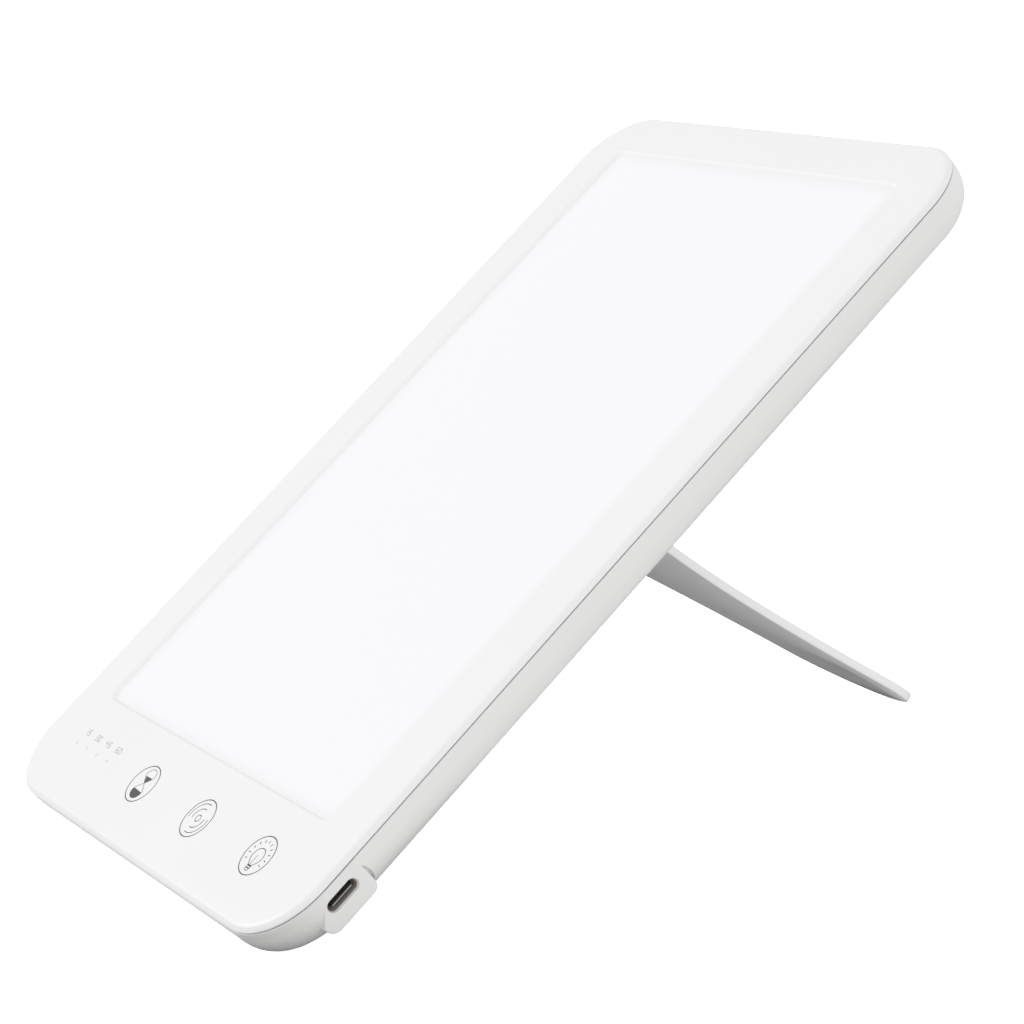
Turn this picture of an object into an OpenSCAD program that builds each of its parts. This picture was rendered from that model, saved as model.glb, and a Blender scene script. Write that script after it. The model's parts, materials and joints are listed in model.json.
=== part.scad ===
// Slim tablet-shaped light panel that leans back on a tongue-shaped fold-out kickstand.
// Units are mm. The panel is drawn flat (X across, Y up the face, Z out of the front,
// Z = 0 on the parting line) and then tilted so that it stands on Z = 0.

/* [Panel] */
// width of the panel across its face
panel_w = 150; // [120:0.5:200]
// height of the panel along its face
panel_h = 237; // [180:0.5:300]
// radius of the four corners seen from the front
corner_r = 17.5; // [12:0.5:30]
// depth of the rear shell behind the parting line
shell_d = 11.3; // [10:0.1:18]
// radius of the rear shell's long rounded edge
edge_r = 8.5; // [4:0.1:10]
// wall thickness of the rear shell
wall = 1.6; // [1.2:0.1:2.5]
// lean of the panel's face above the table, in degrees
tilt = 37; // [25:0.5:70]

/* [Front cover] */
// gap that forms the thin line between cover and shell
seam = 0.3; // [0.1:0.05:0.6]
// height of the cover's side wall above the parting line
cover_side = 1.35; // [1:0.05:3]
// height of the flat bezel above the parting line
cover_top = 1.9; // [1.5:0.05:4]
// width of the gently sloped rim round the bezel
rim_w = 4.2; // [2:0.1:8]
// width of the lit window
window_w = 120.5; // [80:0.5:180]
// height of the lit window
window_h = 194; // [120:0.5:260]
// distance of the window's middle above the panel's middle
window_up = 8.2; // [-10:0.1:20]
// corner radius of the window
window_r = 3; // [1:0.5:10]
// depth of the diffuser below the bezel
window_sink = 0.9; // [0.3:0.1:1.2]

/* [Controls] */
// distance of the row of controls below the panel's middle
key_row = 102.6; // [80:0.1:110]
// spacing of the three touch keys
key_pitch = 31.2; // [20:0.1:32]
// distance of the row's middle to the right of the panel's middle line
key_shift = 0.8; // [-2:0.1:2]
// radius of the conductive pad behind each touch key
key_pad_r = 4; // [2:0.1:6]
// spacing of the four indicator dots
dot_pitch = 6.25; // [3:0.05:7]
// radius of each indicator dot
dot_r = 0.4; // [0.2:0.05:1.5]

/* [Power inlet] */
// distance of the USB-C inlet below the panel's middle
inlet_row = 99.1; // [80:0.1:105]
// depth of the inlet's middle behind the parting line
inlet_z = 4; // [3:0.1:6]
// length of the flat boss round the inlet
boss_len = 15.4; // [12:0.1:24]
// overall width of the USB-C metal shell
usb_w = 8.94; // [8.9:0.01:9]
// overall height of the USB-C metal shell
usb_h = 3.26; // [3.2:0.01:3.3]
// length of the USB-C metal shell
usb_len = 7.35; // [6:0.05:10]

/* [Kickstand] */
// distance of the hinge axis above the panel's middle
hinge_up = 7.3; // [-10:0.1:30]
// depth of the hinge axis behind the parting line
hinge_z = 9.5; // [8:0.1:14]
// length of the kickstand from its hinge axis to its tip
stand_len = 130.8; // [80:0.1:160]
// thickness of the kickstand
stand_t = 2.2; // [2:0.1:5]
// half width of the kickstand at its rounded tip
tip_r = 21.2; // [8:0.1:40]
// radius of the two hollow sides of the kickstand
flare_r = 184; // [80:1:400]
// half width of the kickstand at its hinge
root_half = 54.5; // [20:0.5:64]
// radius of the finger dimple in the kickstand's inner face
dimple_r = 12.5; // [6:0.5:16]
// depth of the finger dimple
dimple_d = 0.9; // [0.2:0.1:1.2]
// radius of the steel hinge rod
rod_r = 1; // [0.8:0.1:1.5]
// radius of the hinge knuckles
knuckle_r = 1.9; // [1.6:0.1:3]
// clearance between the kickstand and its pocket
pocket_gap = 0.5; // [0.2:0.1:1]
// radial running clearance of the hinge rod
run_gap = 0.05; // [0.01:0.01:0.1]

/* [Feet] */
// distance of each foot from the middle of the panel
foot_x = 32; // [10:0.5:50]
// length of each rubber foot
foot_len = 18; // [8:0.5:30]
// width of each rubber foot
foot_w = 6; // [4:0.5:8]
// height that a foot stands out of the shell
foot_out = 0.5; // [0.2:0.1:1]

/* [Fastening] */
// distance of the case screws from the panel's middle line
screw_x = 52; // [42:0.5:54]
// distance of the case screws above and below the panel's middle
screw_y = 112.4; // [112:0.1:113]
// radius of the case screw's shank
screw_r = 1.2; // [1:0.1:1.5]

/* [Hidden] */
eps = 0.01;
half_w = panel_w / 2;
half_h = panel_h / 2;
shell_side = shell_d - edge_r;
cover_low = seam;
diffuser_top = cover_top - window_sink;
diffuser_t = 1.6;
diffuser_low = diffuser_top - diffuser_t;
film_t = 0.3;
guide_t = 3;
guide_top = diffuser_low - film_t;
guide_low = guide_top - guide_t;
tray_t = 0.8;
tray_top = guide_low - film_t;
tray_low = tray_top - tray_t;
guide_w = window_w + 6;
guide_h = window_h + 6;
led_t = 1.2;
led_gap = 0.2;
strip_t = 1;
strip_x = guide_w / 2 + led_gap + led_t + strip_t / 2;
strip_h = guide_h - 2;
tray_w = guide_w + 2 * (led_gap + led_t + strip_t + 0.1 + tray_t);
tray_h = guide_h + 2 * (0.4 + tray_t);
board_low = -inlet_z + usb_h / 2;
board_t = 1.2;
board_top = board_low + board_t;
board_w = 132;
board_h = 14;
board_mid = -(key_row - 1);
socket_x = 56;
inductor_x = 34;
boss_in = 8.2;
post_low = -6;
keys = [for (i = [-0.5, 0.5, 1.5]) key_shift + i * key_pitch];
dots_mid = key_shift - 1.5 * key_pitch;
screws = [for (x = [-1, 1]) for (y = [-1, 1]) [x * screw_x, y * screw_y]];
snaps = [-55, 5, 65];
board_screws = [[-58, board_mid - 5], [58, board_mid - 5]];

// standing position: the feet and the kickstand's tip all touch Z = 0
round_y = -(half_h - edge_r);
round_z = -shell_side;
lift = foot_out + edge_r - (round_y * sin(tilt) + round_z * cos(tilt));
hinge_h = lift + hinge_up * sin(tilt) - hinge_z * cos(tilt);
nose_r = stand_t / 2;
stand_drop = asin((hinge_h - nose_r) / (stand_len - nose_r));
open_angle = 180 - tilt - stand_drop;
back_lean = open_angle - 90;
hinge_back = hinge_up * cos(tilt) + hinge_z * sin(tilt);
y_front = -half_h * cos(tilt) - cover_side * sin(tilt);
y_back = hinge_back + (stand_len - nose_r) * cos(stand_drop) + nose_r;
shift_y = -(y_front + y_back) / 2;
stop_y = (shell_d - hinge_z) * tan(back_lean) + nose_r / cos(back_lean) + 0.05;

// kickstand outline and its dimple's ball
flare_c = stand_len - tip_r;
dimple_ball = (dimple_r * dimple_r + dimple_d * dimple_d) / (2 * dimple_d);
pocket_floor = -(hinge_z - nose_r) + 0.4;
tub_top = pocket_floor + 1.5;
channel_r = knuckle_r + 0.4;
bracket_x = 32.4;
bracket_half = 4.4;
washer_t = 0.4;
cut_half = bracket_half + washer_t + 0.2;

white = [0.93, 0.93, 0.93];
milk = [0.98, 0.98, 1.0];
steel = [0.62, 0.63, 0.65];
green = [0.1, 0.35, 0.2];
black = [0.08, 0.08, 0.09];
gold = [0.85, 0.68, 0.3];
grey = [0.4, 0.4, 0.42];

// which sub-part is drawn

// ---------------------------------------------------------------- frames

module standing() {
    translate([0, shift_y, lift])
        rotate([tilt, 0, 0])
            children();
}

module opened() {
    standing()
        translate([0, hinge_up, -hinge_z])
            rotate([open_angle, 0, 0])
                children();
}

// ---------------------------------------------------------------- shapes

module round_rect(w, h, r) {
    square([w - 2 * r, h], center = true);
    square([w, h - 2 * r], center = true);
    for (x = [-1, 1])
        for (y = [-1, 1])
            translate([x * (w / 2 - r), y * (h / 2 - r)])
                circle(r = r, $fn = 64);
}

module slab(w, h, r, z0, z1) {
    translate([0, 0, z0])
        linear_extrude(height = z1 - z0)
            round_rect(w, h, r);
}

// a profile drawn from X = 0 to X = r is swept round a rounded rectangle
module swept(w, h, r) {
    for (a = [0, 180])
        rotate([0, 0, a]) {
            translate([w / 2 - r, h / 2 - r, 0])
                rotate_extrude(angle = 90, $fn = 96)
                    children();
            translate([-(w / 2 - r), h / 2 - r, 0])
                rotate([0, 0, 90])
                    rotate_extrude(angle = 90, $fn = 96)
                        children();
            translate([w / 2 - r, h / 2 - r, 0])
                rotate([90, 0, 0])
                    linear_extrude(height = h - 2 * r)
                        children();
            translate([-(w / 2 - r), h / 2 - r, 0])
                rotate([90, 0, 90])
                    linear_extrude(height = w - 2 * r)
                        children();
        }
}

module shell_profile(r, e, d) {
    side = d - e;
    translate([0, -side])
        square([r, side]);
    translate([0, -d])
        square([r - e, d]);
    intersection() {
        translate([r - e, -side])
            circle(r = e, $fn = 72);
        translate([r - e, -d - 1])
            square([e + 1, d + 1]);
    }
}

module shell_body(inset) {
    w = panel_w - 2 * inset;
    h = panel_h - 2 * inset;
    r = corner_r - inset;
    d = shell_d - inset;
    swept(w, h, r)
        shell_profile(r, edge_r - inset, d);
    translate([-(w / 2 - r), -(h / 2 - r), -d])
        cube([w - 2 * r, h - 2 * r, d]);
}

module cover_profile(r) {
    polygon([
        [0, cover_low],
        [r, cover_low],
        [r, cover_side],
        [r - 0.35, cover_side + 0.28],
        [r - rim_w, cover_top],
        [0, cover_top]
    ]);
}

// the kickstand's outline, folded flat and pointing down the panel
module stand_outline(grow) {
    difference() {
        translate([-root_half - grow, -flare_c])
            square([2 * (root_half + grow), flare_c]);
        for (x = [-1, 1])
            translate([x * (tip_r + flare_r), -flare_c])
                circle(r = flare_r - grow, $fn = 360);
    }
    translate([0, -flare_c])
        circle(r = tip_r + grow, $fn = 96);
}

module stand_pocket(grow, z0, z1) {
    translate([0, hinge_up, z0])
        linear_extrude(height = z1 - z0) {
            stand_outline(grow);
            translate([-root_half - grow, -1])
                square([2 * (root_half + grow), stop_y + 1 + max(0, grow - pocket_gap)]);
        }
}

module post(x, y, r, z0, z1, fn = 32) {
    translate([x, y, z0])
        cylinder(r = r, h = z1 - z0, $fn = fn);
}

module block(x, y, w, h, z0, z1) {
    translate([x - w / 2, y - h / 2, z0])
        cube([w, h, z1 - z0]);
}

// rounded bar across the panel, its end facing +X
module stadium_bar(x0, x1, y, z, w, h) {
    translate([x0, y, z])
        rotate([90, 0, 90])
            linear_extrude(height = x1 - x0) {
                square([w - h, h], center = true);
                for (s = [-1, 1])
                    translate([s * (w - h) / 2, 0])
                        circle(r = h / 2, $fn = 48);
            }
}

module wire(a, b, r) {
    v = b - a;
    l = norm(v);
    translate(a)
        rotate([0, acos(v[2] / l), atan2(v[1], v[0])])
            cylinder(r = r, h = l, $fn = 32);
}

// ---------------------------------------------------------------- front

module front_cover() {
    color(white)
    standing()
    difference() {
        union() {
            swept(panel_w, panel_h, corner_r)
                cover_profile(corner_r);
            block(0, 0, panel_w - 2 * corner_r, panel_h - 2 * corner_r, cover_low, cover_top);
            difference() {
                slab(panel_w - 2 * wall - 0.3, panel_h - 2 * wall - 0.3, corner_r - wall - 0.15,
                    -2, cover_low + 0.2);
                slab(panel_w - 2 * wall - 2.8, panel_h - 2 * wall - 2.8, corner_r - wall - 1.4,
                    -2.1, cover_low + 0.1);
                block(half_w, -inlet_row, 12, boss_len + 0.8, -3, cover_low);
            }
            for (p = screws)
                post(p[0], p[1], 2.6, post_low, cover_low + 0.1);
            for (p = board_screws)
                post(p[0], p[1], 2, board_top + 0.05, cover_low + 0.1);
        }
        translate([0, window_up, 0])
            slab(window_w, window_h, window_r, -1, cover_top + 1);
        translate([0, window_up, 0])
            slab(window_w + 7, window_h + 7, window_r + 1, -3, diffuser_top);
        for (p = screws)
            post(p[0], p[1], screw_r + 0.05, post_low - 1, -0.6);
        for (p = board_screws)
            post(p[0], p[1], 0.85, board_top - 1, cover_low + 0.6);
        for (y = snaps)
            block(0, y, panel_w - 2 * wall + 1, 9, -1.75, -0.55);
        for (i = [-1.5:1:1.5])
            post(dots_mid + i * dot_pitch, -key_row, dot_r + 0.05, -1, cover_top + 1, 24);
    }
}

module screen_diffuser() {
    color(milk)
    standing()
    translate([0, window_up, 0])
        slab(window_w + 6, window_h + 6, window_r + 0.5, diffuser_low, diffuser_top);
}

module prism_film() {
    color([0.85, 0.9, 0.95])
    standing()
    translate([0, window_up, 0])
        slab(guide_w, guide_h, 2, guide_top, diffuser_low);
}

module light_guide() {
    color([0.9, 0.95, 1.0, 0.6])
    standing()
    translate([0, window_up, 0])
        slab(guide_w, guide_h, 1, guide_low, guide_top);
}

module reflector_sheet() {
    color([0.97, 0.97, 0.97])
    standing()
    translate([0, window_up, 0])
        slab(guide_w, guide_h, 1, tray_top, guide_low);
}

module backlight_tray() {
    color([0.75, 0.76, 0.78])
    standing()
    translate([0, window_up, 0])
    difference() {
        slab(tray_w, tray_h, 2, tray_low, guide_top - 0.05);
        block(0, 0, tray_w - 2 * tray_t, tray_h - 2 * tray_t, tray_top, 1);
        for (x = [-1, 1])
            block(x * (tray_w / 2 - 4), -tray_h / 2, 5, 4, tray_top, 1);
    }
}

module led_board(s) {
    block(s * strip_x, window_up, strip_t, strip_h, tray_top + 0.05, guide_top - 0.1);
}

module led_row(s) {
    x = s * (guide_w / 2 + led_gap + led_t / 2);
    for (i = [-11.5:1:11.5])
        block(x, window_up + i * 8, led_t, 3.5, tray_top + 0.2, guide_top - 0.3);
}

module led_board_left() {
    color(white)
    standing()
        led_board(-1);
}

module led_board_right() {
    color(white)
    standing()
        led_board(1);
}

module leds_left() {
    color([0.98, 0.9, 0.55])
    standing()
        led_row(-1);
}

module leds_right() {
    color([0.98, 0.9, 0.55])
    standing()
        led_row(1);
}

// ---------------------------------------------------------------- controls

module control_board() {
    color(green)
    standing()
    difference() {
        union() {
            block(0, board_mid, board_w, board_h, board_low, board_top);
            block(half_w - 9, -inlet_row, 11, 10, board_low, board_top);
        }
        for (p = board_screws)
            post(p[0], p[1], 1.1, board_low - 1, board_top + 1);
    }
}

module touch_pads() {
    color(grey)
    standing()
    for (x = keys)
        post(x, -key_row, key_pad_r, board_top, cover_low, 48);
}

module indicator_leds() {
    color([0.95, 0.95, 0.85])
    standing()
    for (i = [-1.5:1:1.5])
        block(dots_mid + i * dot_pitch, -key_row, 1.6, 0.8, board_top, board_top + 0.6);
}

module light_pipes() {
    color([0.85, 0.88, 0.9])
    standing() {
        for (i = [-1.5:1:1.5])
            post(dots_mid + i * dot_pitch, -key_row, dot_r, board_top + 0.9, cover_top - 0.05, 24);
        block(dots_mid, -key_row, 4 * dot_pitch, 2.4, board_top + 0.7, board_top + 1.3);
    }
}

module control_chip() {
    color(black)
    standing()
        block(-30, board_mid, 7, 7, board_low - 1, board_low);
}

module boost_inductor() {
    color(grey)
    standing()
    difference() {
        post(inductor_x, board_mid, 5, board_low - 4, board_low, 48);
        post(inductor_x, board_mid, 3.4, board_low - 5, board_low - 3.6, 48);
    }
}

module filter_capacitors() {
    color(steel)
    standing()
    for (x = [inductor_x - 7.7, inductor_x + 8.5])
        post(x, board_mid, 2.5, board_low - 4.4, board_low, 32);
}

module wire_sockets() {
    color([0.95, 0.93, 0.85])
    standing()
    for (s = [-1, 1])
        block(s * socket_x, board_mid + 4.2, 5, 4, board_low - 2.4, board_low);
}

module led_wires() {
    color([0.7, 0.1, 0.1])
    standing()
    for (s = [-1, 1])
        for (k = [0, 1])
            wire(
                [s * strip_x, window_up - strip_h / 2 - 0.3, tray_top + 0.6 + k * 1.3],
                [s * (socket_x + 2.8), board_mid + 5 - k * 1.6, board_low - 1.2],
                0.35
            );
}

module usb_shell() {
    color(steel)
    standing()
    difference() {
        stadium_bar(half_w - 0.4 - usb_len, half_w - 0.4, -inlet_row, -inlet_z, usb_w, usb_h);
        stadium_bar(half_w - usb_len, half_w + 1, -inlet_row, -inlet_z, usb_w - 0.6, usb_h - 0.6);
    }
}

module usb_tongue() {
    color(black)
    standing() {
        translate([half_w - usb_len, -inlet_row - 3.3, -inlet_z - 0.3])
            cube([usb_len - 1.2, 6.6, 0.6]);
        stadium_bar(half_w - usb_len, half_w - usb_len + 1.2, -inlet_row, -inlet_z,
            usb_w - 0.7, usb_h - 0.7);
    }
}

module usb_contacts() {
    color(gold)
    standing()
    for (s = [-1, 1])
        for (i = [-5.5:1:5.5])
            translate([half_w - usb_len + 1.25, -inlet_row + i * 0.5 - 0.12,
                -inlet_z + s * 0.33 - 0.03])
                cube([usb_len - 2.9, 0.24, 0.06]);
}

module board_screws() {
    color(steel)
    standing()
    for (p = board_screws) {
        post(p[0], p[1], 1.7, board_low - 1, board_low, 24);
        post(p[0], p[1], 0.8, board_low - 0.5, cover_low + 0.5, 24);
    }
}

// ---------------------------------------------------------------- rear

module inlet_boss() {
    depth = boss_in - 0.05;
    r = 3;
    low = 1.5;
    translate([half_w - boss_in, -inlet_row - boss_len / 2 + r, -shell_d + low]) {
        cube([depth, boss_len - r, shell_d - low]);
        translate([0, -r, r])
            cube([depth, r + 1, shell_d - low - r]);
        translate([0, 0, r])
            rotate([0, 90, 0])
                cylinder(r = r, h = depth, $fn = 48);
    }
}

module foot_pad(grow, z0, z1) {
    translate([0, shift_y + round_y * cos(tilt) - round_z * sin(tilt), z0])
        for (s = [-1, 1])
            translate([s * foot_x, 0, 0])
                linear_extrude(height = z1 - z0) {
                    square([foot_len - foot_w, foot_w + 2 * grow], center = true);
                    for (e = [-1, 1])
                        translate([e * (foot_len - foot_w) / 2, 0])
                            circle(r = foot_w / 2 + grow, $fn = 48);
                }
}

module shell_inside() {
    for (p = screws)
        post(p[0], p[1], 4, -shell_d, post_low - 0.1);
    for (y = [window_up + 60, window_up + 85, -60])
        for (s = [-1, 1])
            block(s * 50, y, 24, 1.6, -shell_d + 1, tray_low - 0.05);
    for (y = snaps)
        for (s = [-1, 1])
            block(s * (half_w - wall), y, 1.2, 8, -1.6, -0.8);
    stand_pocket(pocket_gap + wall, -shell_d, tub_top);
    for (s = [-1, 1]) {
        block(s * (root_half + 3.4), hinge_up, 6, 9, -shell_d, tub_top);
        block(s * bracket_x, hinge_up + stop_y + 6.5, 12, 9, -shell_d, tub_top);
    }
}

module rear_shell() {
    foot_deep = foot_out + 1.1;
    color(white)
    difference() {
        union() {
            standing() {
                difference() {
                    shell_body(0);
                    translate([0, 0, eps])
                        shell_body(wall);
                }
                intersection() {
                    shell_body(0.02);
                    shell_inside();
                }
                inlet_boss();
            }
            foot_pad(1.4, foot_deep + 0.1, foot_deep + 1.6);
        }
        standing() {
            stand_pocket(pocket_gap, -shell_d - 1, pocket_floor);
            translate([-root_half - pocket_gap, hinge_up, -hinge_z])
                rotate([0, 90, 0])
                    cylinder(r = channel_r, h = 2 * (root_half + pocket_gap), $fn = 48);
            translate([-root_half - 5.6, hinge_up, -hinge_z])
                rotate([0, 90, 0])
                    cylinder(r = rod_r + run_gap, h = 2 * (root_half + 5.6), $fn = 32);
            for (s = [-1, 1]) {
                block(s * bracket_x, hinge_up, 2 * bracket_half + 0.4, 2.2, -hinge_z, 0);
                for (e = [-1, 1])
                    post(s * bracket_x + e * 3.4, hinge_up + stop_y + 7, 0.85, -shell_d + 1.2, 0, 24);
            }
            for (p = screws) {
                post(p[0], p[1], 1.5, -shell_d - 1, 0);
                post(p[0], p[1], 2.7, -shell_d - 1, -8.6);
            }
            stadium_bar(half_w - 12, half_w + 1, -inlet_row, -inlet_z, usb_w + 0.3, usb_h + 0.3);
            block(half_w - 7.3, -inlet_row, 8, 11, -inlet_z - 2.4, 1);
        }
        foot_pad(0, -1, foot_deep);
    }
}

module case_screws() {
    color(steel)
    standing()
    for (p = screws)
        difference() {
            union() {
                post(p[0], p[1], 2.3, -10.2, -8.6, 32);
                post(p[0], p[1], screw_r, -9, -0.8, 24);
            }
            for (a = [0, 90])
                translate([p[0], p[1], -10.2])
                    rotate([0, 0, a])
                        cube([2.6, 0.5, 1.4], center = true);
        }
}

module rubber_feet() {
    color(grey)
        foot_pad(-0.05, 0, foot_out + 1.1);
}

// ---------------------------------------------------------------- hinge and stand

module hinge_brackets() {
    color(steel)
    standing()
    for (s = [-1, 1])
        translate([s * bracket_x, hinge_up, 0])
        difference() {
            union() {
                translate([-bracket_half, 0, -hinge_z])
                    rotate([0, 90, 0])
                        cylinder(r = knuckle_r, h = 2 * bracket_half, $fn = 48);
                block(0, 0, 2 * bracket_half, 1.8, -hinge_z, tub_top + 0.4);
                block(0, stop_y / 2 + 4.5, 2 * bracket_half + 2, stop_y + 9.9, tub_top,
                    tub_top + 0.8);
            }
            translate([-bracket_half - 1, 0, -hinge_z])
                rotate([0, 90, 0])
                    cylinder(r = rod_r + run_gap, h = 2 * bracket_half + 2, $fn = 32);
            for (e = [-1, 1])
                post(e * 3.4, stop_y + 7, 1.05, tub_top - 1, tub_top + 2, 24);
        }
}

module bracket_screws() {
    color(grey)
    standing()
    for (s = [-1, 1])
        for (e = [-1, 1]) {
            post(s * bracket_x + e * 3.4, hinge_up + stop_y + 7, 1.6, tub_top + 0.8,
                tub_top + 1.25, 24);
            post(s * bracket_x + e * 3.4, hinge_up + stop_y + 7, 0.8, -shell_d + 1.6,
                tub_top + 1, 24);
        }
}

module hinge_washers() {
    color([0.9, 0.88, 0.8])
    standing()
    for (s = [-1, 1])
        for (e = [-1, 1])
            translate([s * bracket_x + e * (bracket_half + washer_t / 2 + 0.05), hinge_up, -hinge_z])
                rotate([0, 90, 0])
                    difference() {
                        cylinder(r = knuckle_r - 0.1, h = washer_t - 0.05, center = true, $fn = 48);
                        cylinder(r = rod_r + run_gap, h = 2, center = true, $fn = 32);
                    }
}

module edge_tube() {
    for (s = [0, 1])
        mirror([s, 0, 0])
            translate([tip_r + flare_r, -flare_c, 0])
                rotate([0, 0, 138])
                    rotate_extrude(angle = 42, $fn = 240)
                        translate([flare_r + nose_r, 0])
                            circle(r = nose_r, $fn = 24);
    translate([0, -flare_c, 0])
        rotate([0, 0, 180])
            rotate_extrude(angle = 180, $fn = 96)
                translate([tip_r - nose_r, 0])
                    circle(r = nose_r, $fn = 24);
}

module kickstand() {
    color(white)
    opened()
    difference() {
        union() {
            intersection() {
                union() {
                    translate([0, 0, -nose_r])
                        linear_extrude(height = stand_t)
                            stand_outline(-nose_r);
                    edge_tube();
                }
                translate([-root_half, -stand_len - 5, -5])
                    cube([2 * root_half, stand_len + 5, 10]);
            }
            translate([-root_half, 0, 0])
                rotate([0, 90, 0])
                    cylinder(r = knuckle_r, h = 2 * root_half, $fn = 48);
        }
        translate([-root_half - 1, 0, 0])
            rotate([0, 90, 0])
                cylinder(r = rod_r, h = 2 * root_half + 2, $fn = 32);
        for (s = [-1, 1])
            block(s * bracket_x, -0.9, 2 * cut_half, 6.2, -4, 4);
        translate([0, -flare_c, nose_r - dimple_d + dimple_ball])
            sphere(r = dimple_ball, $fn = 200);
    }
}

module hinge_rod() {
    color(steel)
    opened()
    translate([-root_half - 4, 0, 0])
        rotate([0, 90, 0])
            cylinder(r = rod_r, h = 2 * root_half + 8, $fn = 32);
}

// ---------------------------------------------------------------- what is drawn

front_cover();
screen_diffuser();
prism_film();
light_guide();
reflector_sheet();
backlight_tray();
led_board_left();
led_board_right();
leds_left();
leds_right();
control_board();
touch_pads();
indicator_leds();
light_pipes();
control_chip();
boost_inductor();
filter_capacitors();
wire_sockets();
led_wires();
usb_shell();
usb_tongue();
usb_contacts();
board_screws();
rear_shell();
case_screws();
rubber_feet();
hinge_brackets();
bracket_screws();
hinge_washers();
kickstand();
hinge_rod();
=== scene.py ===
"""Looks of the light panel on its kickstand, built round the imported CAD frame.

Lengths are in millimetres in the panel's own frame, as in the CAD source: X across the panel, Y up its face
and Z out of its front, with Z = 0 on the parting line. The kickstand is drawn folded, in a frame at its
hinge. place() brings a piece into the row's frame, in metres.
"""

import json
import math

import bmesh
import bpy
from mathutils import Matrix, Vector


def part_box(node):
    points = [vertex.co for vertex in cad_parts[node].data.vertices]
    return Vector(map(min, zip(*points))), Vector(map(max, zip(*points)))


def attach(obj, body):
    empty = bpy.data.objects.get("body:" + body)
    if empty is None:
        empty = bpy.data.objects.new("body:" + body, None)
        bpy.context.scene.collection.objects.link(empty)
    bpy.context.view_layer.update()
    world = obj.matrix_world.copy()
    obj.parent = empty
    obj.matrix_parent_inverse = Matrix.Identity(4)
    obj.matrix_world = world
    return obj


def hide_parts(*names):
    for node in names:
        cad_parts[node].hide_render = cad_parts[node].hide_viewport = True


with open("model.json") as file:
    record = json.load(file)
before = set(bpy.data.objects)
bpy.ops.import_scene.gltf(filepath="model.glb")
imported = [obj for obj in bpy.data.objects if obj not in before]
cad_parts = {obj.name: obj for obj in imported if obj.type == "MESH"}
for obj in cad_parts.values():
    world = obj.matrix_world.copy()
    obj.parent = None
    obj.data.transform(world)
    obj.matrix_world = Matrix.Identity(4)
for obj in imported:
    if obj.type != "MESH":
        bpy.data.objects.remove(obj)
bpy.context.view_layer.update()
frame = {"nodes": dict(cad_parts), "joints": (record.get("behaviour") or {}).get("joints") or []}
nodes = frame["nodes"]

MM = 0.001

# ---------------------------------------------------------------- driving sizes (mm, degrees)

# panel
cover_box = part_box("front_cover")
PANEL_W = (cover_box[1].x - cover_box[0].x) / MM
PANEL_H = 237
HALF_W = PANEL_W / 2
TILT = 37
CORNER_R = 17.5
SEAM = 0.3

# rear shell
SHELL_D = 11.3
EDGE_R = 8.5
EDGE_BREAK = 0.14
WALL = 1.6
SKIN_GAP = 0.02

# front cover: rim, window, lip, outer edge and the skirt that goes inside the shell
COVER_SIDE = 1.35
COVER_TOP = 1.9
RIM_W = 4.2
WINDOW_W = 120.5
WINDOW_H = 194
WINDOW_UP = 8.2
WINDOW_R = 3
WINDOW_SINK = 0.9
WINDOW_LEDGE = 3.5
DIFFUSER_TOP = COVER_TOP - WINDOW_SINK
LIP_R = 0.3
LIP_END = 30
LIP_DRAFT = 0.45
FOOT_BREAK = 0.12
EDGE_FOOT_R = 0.5
EDGE_SLOPE = 45
SHOULDER_R = 1.7
SHOULDER_UP = 0.4
SHOULDER_END = 86
SKIRT_OUT = WALL + 0.15
SKIRT_IN = WALL + 1.4
SKIRT_LOW = -2

# touch keys and indicator dots
KEY_ROW = 102.6
KEY_PITCH = 31.2
KEY_SHIFT = 0.8
DOT_PITCH = 6.25
DOT_R = 0.4
PIN_HOLE_R = DOT_R + 0.05
DOTS_MID = KEY_SHIFT - 1.5 * KEY_PITCH
DOTS_X = [DOTS_MID + i * DOT_PITCH for i in (-1.5, -0.5, 0.5, 1.5)]

# inlet and its boss
INLET_ROW = 99.1
INLET_Z = 4
NOTCH_START = HALF_W - 6
NOTCH_END = HALF_W - 0.6
NOTCH_LOW = -3
NOTCH_HALF = 8.1
BOSS_DOWN = 7.7
BOSS_UP = 7.1
BOSS_D = 9.4
BOSS_IN = 8.2
BOSS_SLANT = 5.5
BOSS_KNEE = 3.2
BOSS_LOW_R = 3
BOSS_TOP_R = 2
BOSS_EDGE = 0.4
CREASE_W = 0.9
CREASE_D = 0.9
MOUTH_LIP = 0.4
MOUTH_GAP = 0.15
MOUTH_DEEP = 12
MOUTH_OVER = 0.08
MOUTH_SLOPE = 0.15
USB_W = 8.94
USB_H = 3.26
USB_LEN = 7.35
USB_WALL = 0.3
USB_BACK = 0.4
USB_ROUND = 0.12
USB_SPACE_START = 11.3
USB_SPACE_END = 3.3
USB_SPACE_HALF = 5.5
USB_SPACE_DOWN = 2.4
TONGUE_W = 6.6
TONGUE_H = 0.6
TONGUE_DEEP = 0.95
TONGUE_BASE = 0.8
PLATE_HALF = 2.9

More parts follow.
